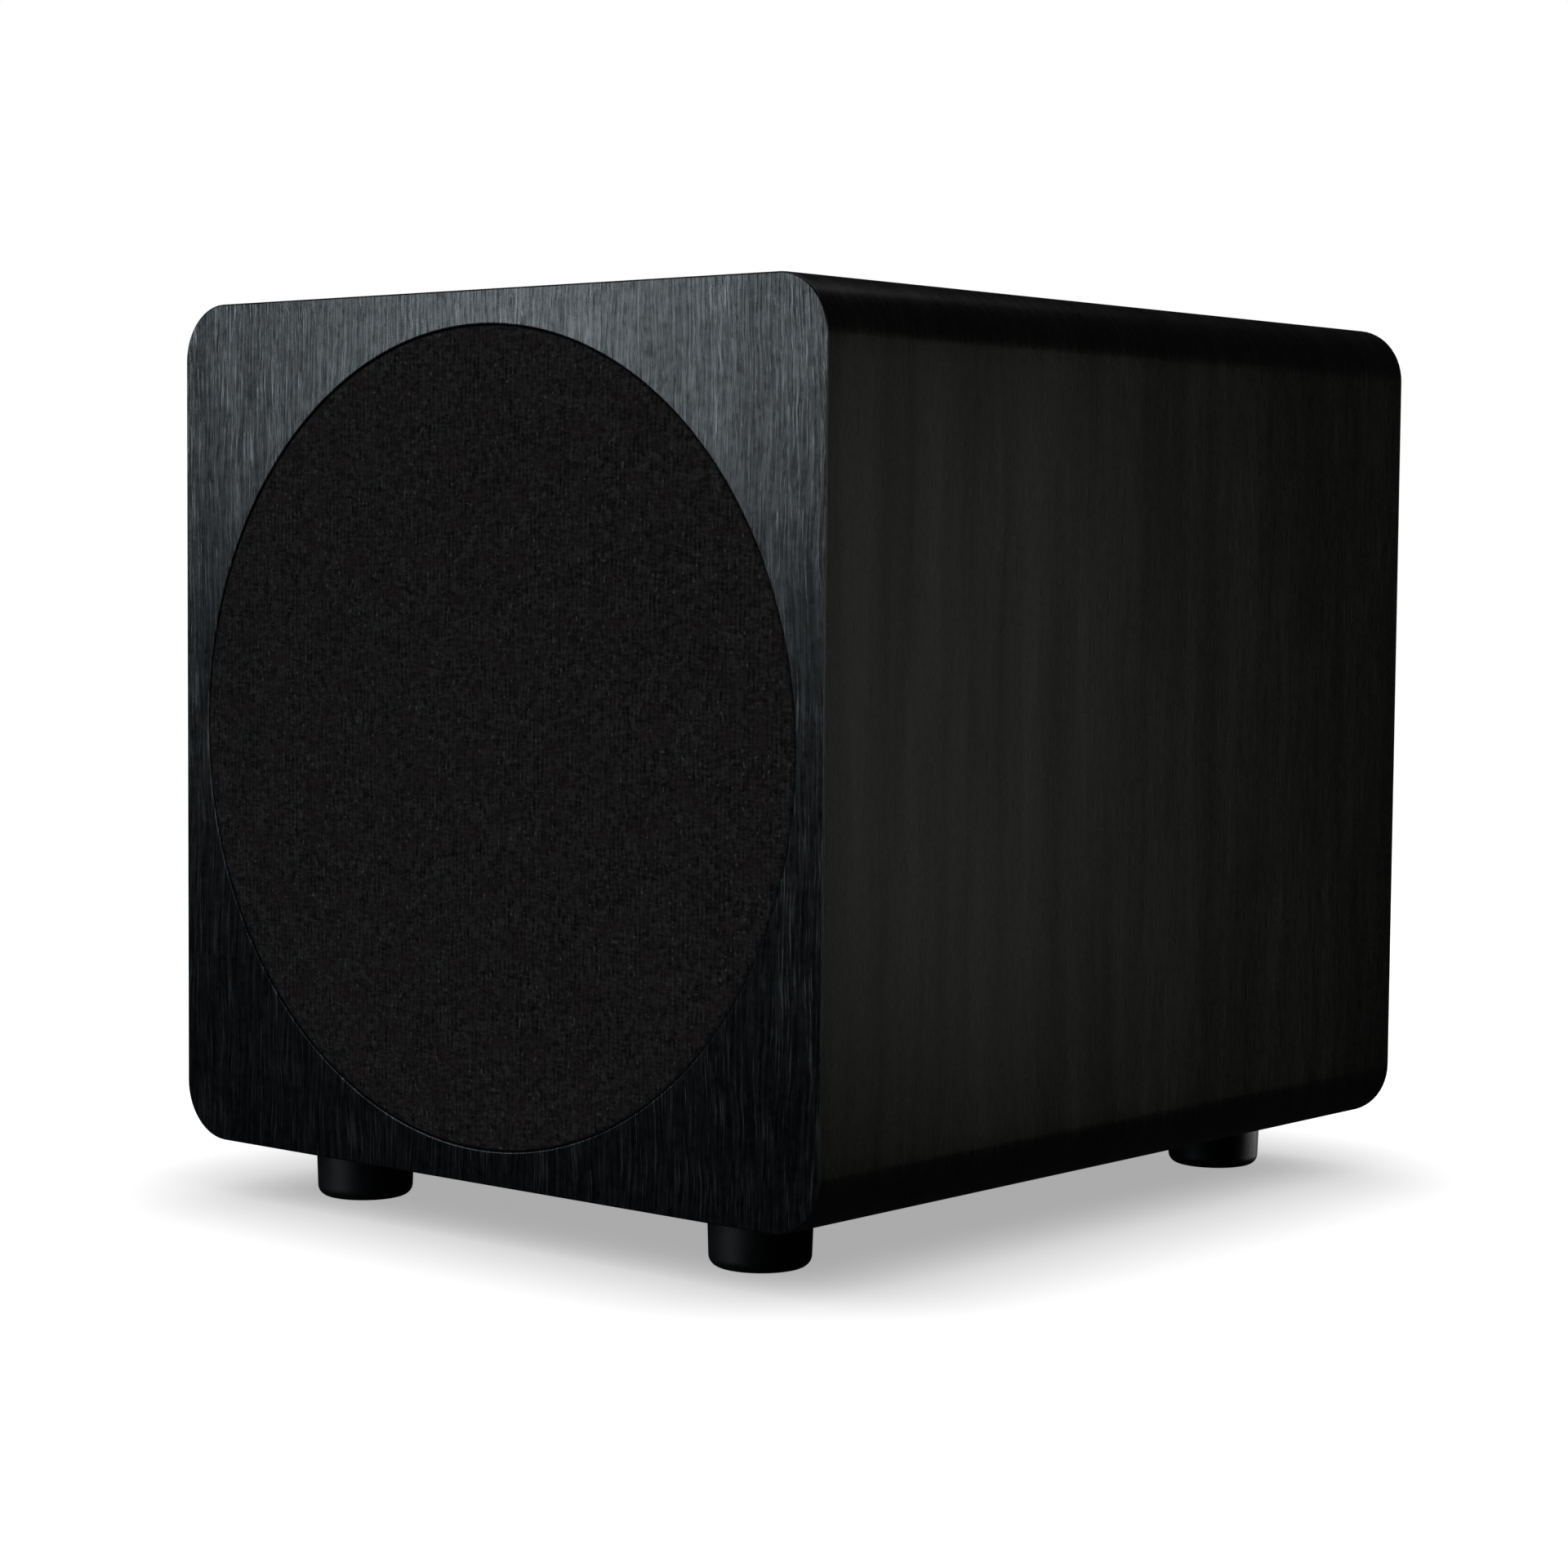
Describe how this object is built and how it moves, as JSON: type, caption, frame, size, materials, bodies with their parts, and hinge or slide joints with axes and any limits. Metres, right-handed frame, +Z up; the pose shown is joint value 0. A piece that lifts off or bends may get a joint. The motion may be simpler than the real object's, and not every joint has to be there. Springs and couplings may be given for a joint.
{
  "type": "powered subwoofer",
  "caption": "Cubic black cabinet on round rubber feet, with a flush round cloth grille over a sealed bass driver and a plate amplifier on the back.",
  "frame": {"origin": "on the floor, at the middle of the whole object's box", "axes": "+Z up; the grille faces -Y and the amplifier's plate faces +Y; +X is to the right of a person who looks at the grille"},
  "size_m": [0.33, 0.3994, 0.352],
  "materials": {
    "black_ash_wrap": "black ash vinyl, fine grain, satin",
    "black_ash_front": "black ash grain, satin lacquer",
    "black_mdf": "black painted fibreboard",
    "raw_mdf": "raw fibreboard",
    "pine": "planed softwood",
    "wadding": "polyester wadding",
    "foot_rubber": "moulded rubber, matt",
    "grille_cloth": "knitted acoustic cloth",
    "moulded_black": "moulded plastic, fine texture",
    "nickel_magnet": "nickel plated",
    "cast_alloy": "cast alloy, black powder coat",
    "zinc_steel": "zinc plated steel",
    "ferrite": "sintered ferrite, matt",
    "gasket_foam": "closed-cell foam",
    "black_screw": "black oxide steel",
    "tinned_tabs": "tinned brass on laminate",
    "cone_paper": "coated fibre cone, matt",
    "dust_cap": "coated fibre, satin",
    "former_alloy": "aluminium foil",
    "coil_copper": "enamelled copper",
    "surround_rubber": "soft rubber, satin",
    "spider_cloth": "resin-treated cotton",
    "amp_black": "black powder coat, fine texture",
    "sink_black": "black anodised extrusion",
    "transformer_tape": "wound with polyester tape",
    "circuit_board": "green solder mask",
    "component_black": "sleeved cans and packages",
    "pot_metal": "nickel plated",
    "knob_black": "moulded knob with a pale pointer",
    "slider_black": "moulded plastic",
    "socket_black": "moulded plastic, satin",
    "rocker_black": "moulded plastic, polished",
    "jack_nickel": "nickel plated barrels, coloured cores",
    "led_lens": "diffused red lens",
    "lead_sleeve": "flexible sleeving"
  },
  "bodies": {
    "root": {"amp_gasket": "gasket_foam", "amp_hardware": "black_screw", "amp_plate": "amp_black", "amp_screws": "black_screw", "baffle_magnets": "nickel_magnet", "board_components": "component_black", "bottom_wall": "raw_mdf", "driver_basket": "cast_alloy", "driver_gasket": "gasket_foam", "driver_screws": "black_screw", "driver_terminals": "tinned_tabs", "foot_fasteners": "black_screw", "foot_front_left": "foot_rubber", "foot_front_right": "foot_rubber", "foot_rear_left": "foot_rubber", "foot_rear_right": "foot_rubber", "front_panel": "black_ash_front", "glue_cleats": "pine", "heat_sink": "sink_black", "inner_baffle": "black_mdf", "input_board": "circuit_board", "lead_clip": "moulded_black", "left_wall": "raw_mdf", "lining_left": "wadding", "lining_right": "wadding", "lining_top": "wadding", "magnet_ring": "ferrite", "main_board": "circuit_board", "mains_inlet": "socket_black", "pole_yoke": "zinc_steel", "pot_bodies": "pot_metal", "power_switch_housing": "socket_black", "rca_jacks": "jack_nickel", "rear_panel": "black_mdf", "right_wall": "raw_mdf", "slide_switch_bodies": "moulded_black", "speaker_leads": "lead_sleeve", "spider": "spider_cloth", "status_led": "led_lens", "surround": "surround_rubber", "tinsel_leads": "coil_copper", "top_plate": "zinc_steel", "top_wall": "raw_mdf", "transformer": "transformer_tape", "trim_ring": "moulded_black", "vinyl_wrap": "black_ash_wrap", "window_brace": "raw_mdf"},
    "grille": {"grille_frame": "moulded_black", "grille_cloth": "grille_cloth", "grille_magnets": "nickel_magnet"},
    "cone_assembly": {"cone": "cone_paper", "dust_cap": "dust_cap", "voice_coil_former": "former_alloy", "voice_coil": "coil_copper"},
    "volume_control": {"volume_knob": "knob_black"},
    "crossover_control": {"crossover_knob": "knob_black"},
    "phase_switch": {"phase_slider": "slider_black"},
    "mode_switch": {"mode_slider": "slider_black"},
    "power_switch": {"power_rocker": "rocker_black"},
    "fuse_carrier": {"fuse_drawer": "socket_black"}
  },
  "joints": [
    {"name": "grille_pull", "type": "slide", "parent": "root", "child": "grille", "axis": [0, -1, 0], "range_m": [0, 0.05]},
    {"name": "cone_travel", "type": "slide", "parent": "root", "child": "cone_assembly", "axis": [0, -1, 0], "range_m": [-0.009, 0.009], "stiffness_N_per_m": 3700, "deforming": ["surround", "spider", "tinsel_leads"]},
    {"name": "volume_turn", "type": "hinge", "parent": "root", "child": "volume_control", "pos_m": [0.07, 0.1823, 0.195], "axis": [0, 1, 0], "range_deg": [-150, 150]},
    {"name": "crossover_turn", "type": "hinge", "parent": "root", "child": "crossover_control", "pos_m": [0.025, 0.1823, 0.195], "axis": [0, 1, 0], "range_deg": [-150, 150]},
    {"name": "phase_slide", "type": "slide", "parent": "root", "child": "phase_switch", "axis": [-1, 0, 0], "range_m": [0, 0.004]},
    {"name": "mode_slide", "type": "slide", "parent": "root", "child": "mode_switch", "axis": [-1, 0, 0], "range_m": [-0.002, 0.002]},
    {"name": "power_rock", "type": "hinge", "parent": "root", "child": "power_switch", "pos_m": [-0.088, 0.1777, 0.102], "axis": [1, 0, 0], "range_deg": [0, 18]},
    {"name": "fuse_drawer_pull", "type": "slide", "parent": "root", "child": "fuse_carrier", "axis": [0, 1, 0], "range_m": [0, 0.02]}
  ]
}
